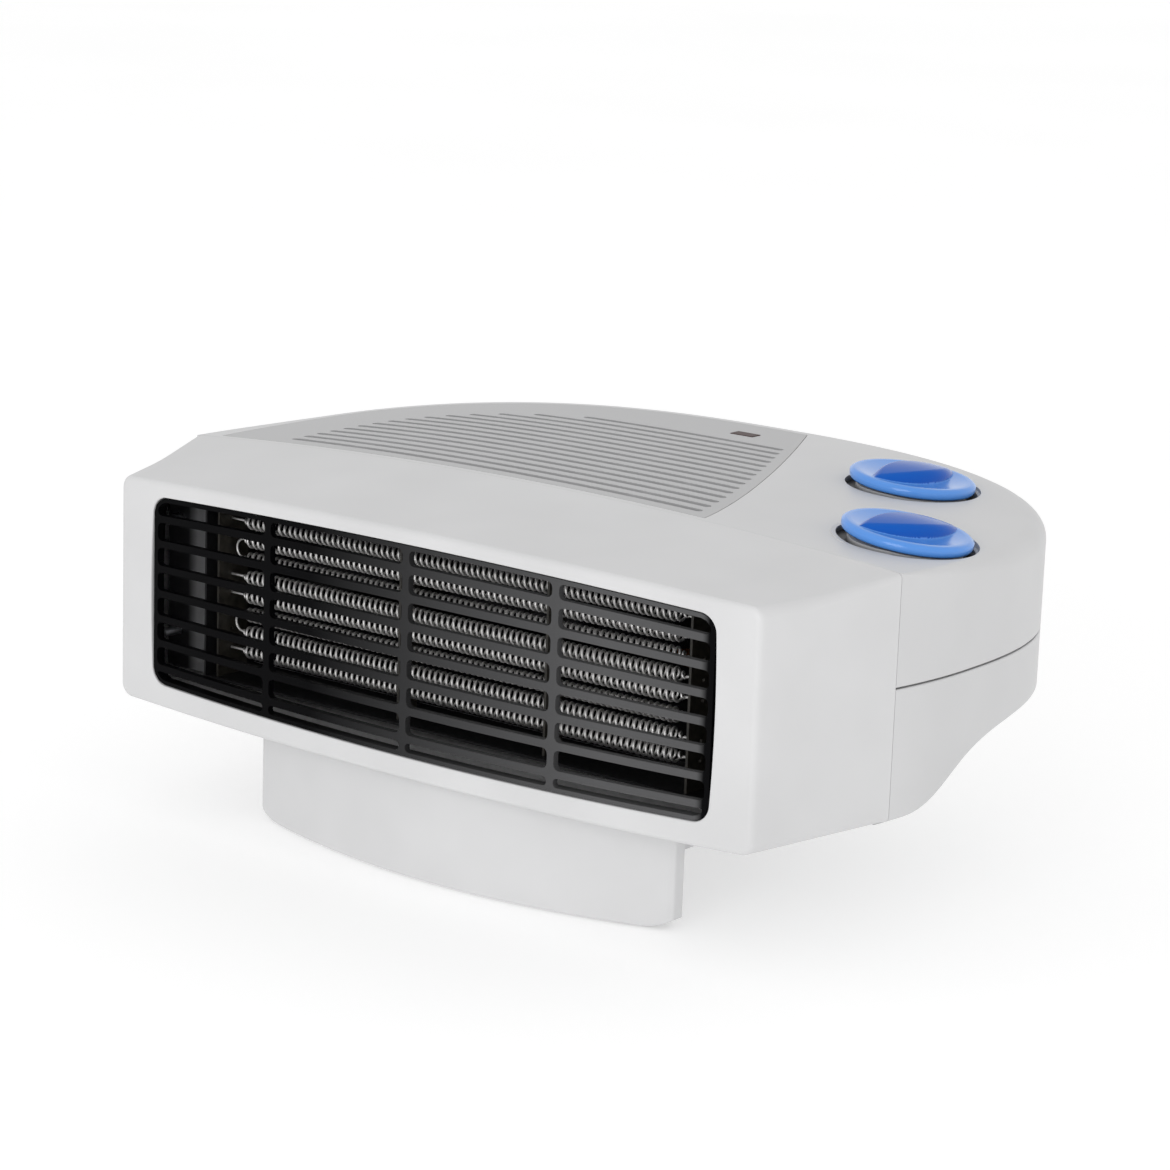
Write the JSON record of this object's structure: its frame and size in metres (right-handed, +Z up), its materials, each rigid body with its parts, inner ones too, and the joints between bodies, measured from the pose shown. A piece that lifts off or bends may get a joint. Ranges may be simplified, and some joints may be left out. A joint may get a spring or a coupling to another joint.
{
  "type": "fan heater",
  "caption": "Flat free-standing fan heater with a slotted front grille, a louvred top panel, two round control knobs on the right of the deck and a curved foot.",
  "frame": {"origin": "under the middle of the heater's box, on the floor it stands on", "axes": "+X to the right as seen from the front, which is the side with the knobs; +Y from the grille to the back; +Z up"},
  "size_m": [0.2766, 0.1924, 0.1212],
  "materials": {
    "white_shell": "fine satin moulding",
    "grey_shell": "fine satin moulding, a little greyer than the front",
    "grey_panel": "fine satin moulding, greyer than the shells",
    "foot_plastic": "fine satin moulding",
    "black_grille": "satin black moulding",
    "blue_knob": "glossy blue moulding",
    "red_lens": "clear dark red plastic",
    "lamp_glass": "clear glass",
    "spindle_plastic": "plain moulding",
    "switch_plastic": "plain black moulding",
    "ceramic": "unglazed ceramic or pale plastic",
    "bright_steel": "bright zinc-plated sheet",
    "mica": "pressed mica sheet",
    "heating_wire": "dull resistance wire",
    "duct_plastic": "heat-proof dark moulding",
    "impeller_plastic": "plain black moulding",
    "stack_steel": "laminated electrical steel",
    "copper_winding": "enamelled copper wire",
    "screw_steel": "zinc-plated",
    "black_gland": "soft black moulding",
    "pad_rubber": "matt black rubber"
  },
  "bodies": {
    "case": {"front_housing": "white_shell", "upper_housing": "grey_shell", "lower_housing": "grey_shell", "front_grille": "black_grille", "intake_grille": "grey_panel", "foot": "foot_plastic", "rubber_pads": "pad_rubber", "pilot_lamp_lens": "red_lens", "pilot_lamp": "lamp_glass", "selector_switch": "switch_plastic", "thermostat": "ceramic", "element_frame": "bright_steel", "mica_end_plates": "mica", "mica_cards": "mica", "upper_heating_coil": "heating_wire", "lower_heating_coil": "heating_wire", "thermal_cutout": "switch_plastic", "thermal_fuse": "bright_steel", "fan_scroll": "duct_plastic", "scroll_cover": "duct_plastic", "motor_stator": "stack_steel", "motor_winding": "copper_winding", "motor_bearings": "stack_steel", "motor_screws": "screw_steel", "cord_gland": "black_gland", "terminal_block": "ceramic", "case_screws": "screw_steel", "foot_screws": "screw_steel"},
    "selector": {"selector_knob": "blue_knob", "selector_spindle": "spindle_plastic"},
    "thermostat_control": {"thermostat_knob": "blue_knob", "thermostat_spindle": "spindle_plastic"},
    "fan_wheel": {"impeller": "impeller_plastic", "motor_rotor": "bright_steel"}
  },
  "joints": [
    {"name": "selector_turn", "type": "hinge", "parent": "case", "child": "selector", "pos_m": [0.1135, -0.0106, 0.11187], "axis": [0.139, 0.0523, 0.9889], "range_deg": [0, 270]},
    {"name": "thermostat_turn", "type": "hinge", "parent": "case", "child": "thermostat_control", "pos_m": [0.078, 0.0474, 0.11387], "axis": [0.0958, 0.0349, 0.9948], "range_deg": [-135, 135]},
    {"name": "fan_spin", "type": "hinge", "parent": "case", "child": "fan_wheel", "pos_m": [-0.02, 0.0224, 0.08], "axis": [0, 0, 1], "continuous": true}
  ]
}
